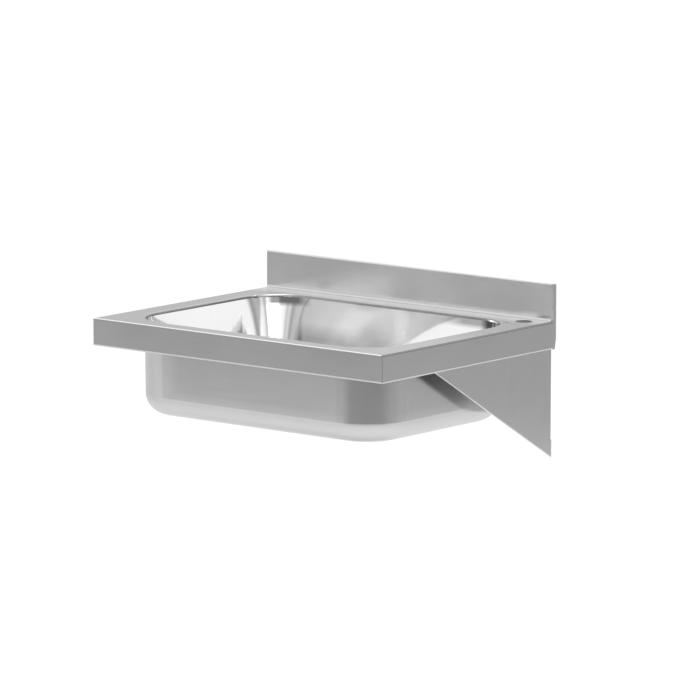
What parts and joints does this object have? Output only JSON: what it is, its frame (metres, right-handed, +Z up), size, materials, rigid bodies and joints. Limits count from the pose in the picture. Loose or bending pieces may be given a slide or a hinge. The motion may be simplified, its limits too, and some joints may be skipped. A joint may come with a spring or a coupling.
{
  "type": "kitchen sink",
  "caption": "Wall-hung stainless steel kitchen sink: folded worktop with a splashback, a deep bowl with a basket strainer waste, a tap hole and gusset brackets.",
  "frame": {"origin": "centre of the four wall fixings, on the wall plane", "axes": "+Z up, +X to the right seen from the front, +Y into the wall; the wall is the plane y = 0 and the front faces -Y"},
  "size_m": [0.6, 0.45, 0.286],
  "materials": {
    "satin_steel": "satin, finely brushed",
    "polished_steel": "polished, softly mirror-like",
    "fastener_steel": "bright zinc plating",
    "gasket_rubber": "matt moulded",
    "white_moulding": "fine moulded satin",
    "insert_brass": "turned"
  },
  "bodies": {
    "sink": {"worktop": "satin_steel", "splash_end_left": "satin_steel", "splash_end_right": "satin_steel", "rear_rail": "satin_steel", "bowl": "polished_steel", "bracket_left": "satin_steel", "bracket_right": "satin_steel", "deck_studs": "fastener_steel", "bracket_washers": "fastener_steel", "bracket_spring_washers": "fastener_steel", "bracket_nuts": "fastener_steel", "earth_stud": "fastener_steel", "waste_flange": "polished_steel", "flange_gasket": "gasket_rubber", "body_gasket": "gasket_rubber", "waste_body": "white_moulding", "waste_insert": "insert_brass", "waste_screw": "fastener_steel"},
    "basket": {"strainer_basket": "polished_steel", "basket_seal": "gasket_rubber", "basket_post": "polished_steel"}
  },
  "joints": [
    {"name": "basket_lift", "type": "slide", "parent": "sink", "child": "basket", "axis": [0, 0, 1], "range_m": [0, 0.2]}
  ]
}
